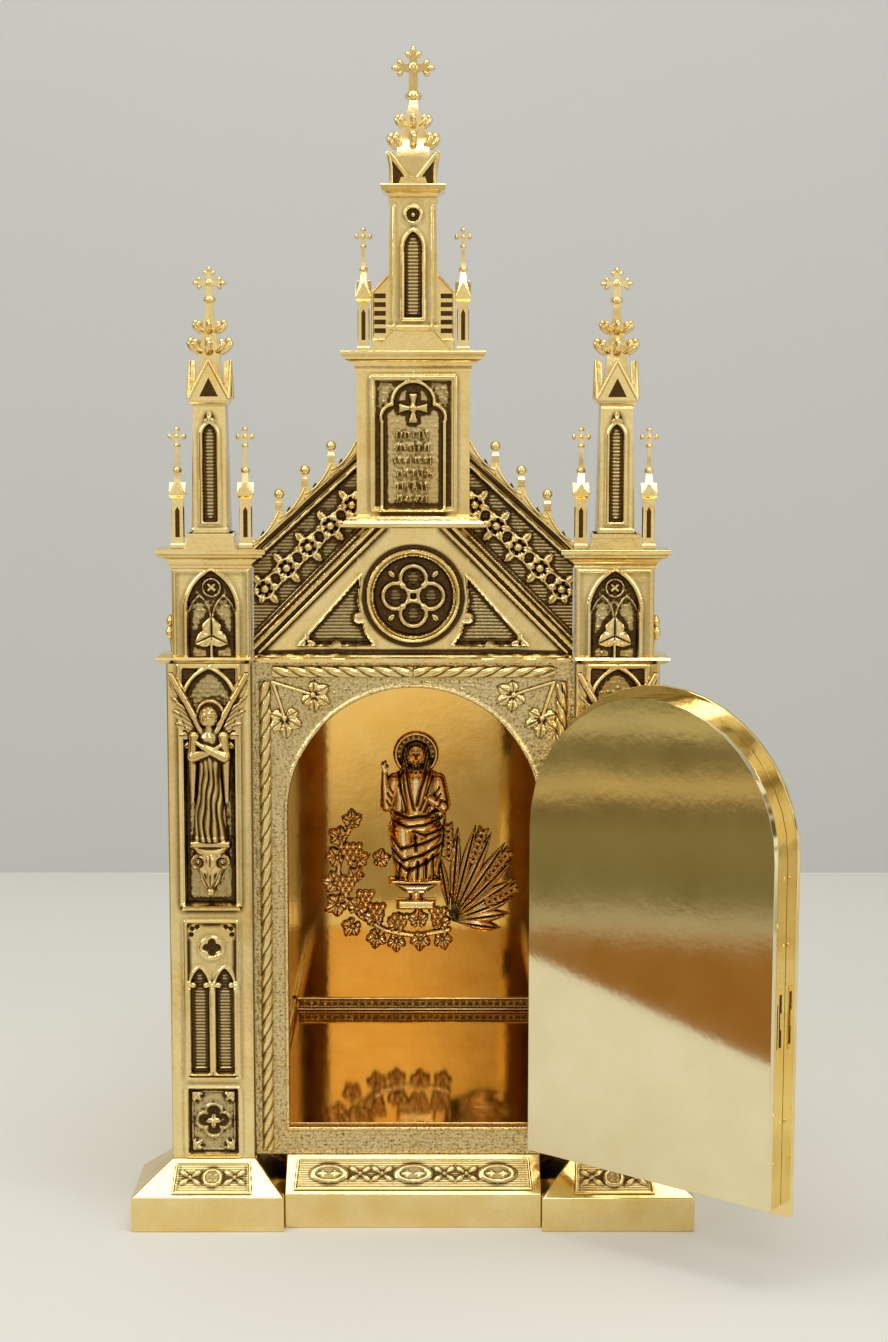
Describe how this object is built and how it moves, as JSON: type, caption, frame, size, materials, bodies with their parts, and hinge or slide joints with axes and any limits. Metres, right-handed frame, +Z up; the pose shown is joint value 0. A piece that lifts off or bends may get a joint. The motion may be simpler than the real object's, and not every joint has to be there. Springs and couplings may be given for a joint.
{
  "type": "altar tabernacle",
  "caption": "Gothic altar tabernacle of cast brass: a gilded chamber behind a traceried front with piers, gable, tower and pinnacles, closed by a round-headed hinged door.",
  "frame": {"origin": "middle of the underside of the rear plinth and base, on the surface that the tabernacle stands on", "axes": "+Z up, +X to the right of someone who faces the door, +Y to the back"},
  "size_m": [0.4863, 0.5114, 0.889],
  "materials": {
    "polished_brass": "smooth polished brass, lacquered, with soft reflections",
    "cast_brass": "cast brass, polished on the high faces and dark in the recesses",
    "antique_brass": "cast relief with brown patina in the hollows and rubbed highlights",
    "gilt_lining": "deep gold mirror-polished lining",
    "mirror_brass": "pale mirror-polished brass with a fine upright brushing"
  },
  "bodies": {
    "cabinet": {"base_pier_left": "polished_brass", "base_pier_right": "polished_brass", "base_centre": "polished_brass", "rear_plinth": "polished_brass", "pier_left": "cast_brass", "pier_right": "cast_brass", "angel_left": "antique_brass", "angel_right": "antique_brass", "turret_left": "cast_brass", "turret_right": "cast_brass", "pinnacle_left": "cast_brass", "pinnacle_right": "cast_brass", "small_pinnacle_left_inner": "cast_brass", "small_pinnacle_left_outer": "cast_brass", "small_pinnacle_right_inner": "cast_brass", "small_pinnacle_right_outer": "cast_brass", "tower_pinnacle_left": "cast_brass", "tower_pinnacle_right": "cast_brass", "gable": "cast_brass", "tower": "cast_brass", "tower_spire": "cast_brass", "front_border": "antique_brass", "rope_left": "cast_brass", "rope_right": "cast_brass", "rope_top": "cast_brass", "vine_leaves_left": "antique_brass", "vine_leaves_right": "antique_brass", "side_wall_left": "gilt_lining", "side_wall_right": "gilt_lining", "back_wall": "gilt_lining", "chamber_floor": "gilt_lining", "roof": "polished_brass", "gallery_left": "gilt_lining", "gallery_right": "gilt_lining", "gallery_back": "gilt_lining", "back_relief": "antique_brass", "hinge_lower": "polished_brass", "hinge_upper": "polished_brass"},
    "door": {"door_pan": "mirror_brass", "door_plate": "polished_brass", "door_emblem": "antique_brass", "door_knob": "polished_brass"}
  },
  "joints": [
    {"name": "door_hinge", "type": "hinge", "parent": "cabinet", "child": "door", "pos_m": [0.1017, -0.1745, 0.19], "axis": [0, 0, 1], "range_deg": [-141, 19]}
  ]
}
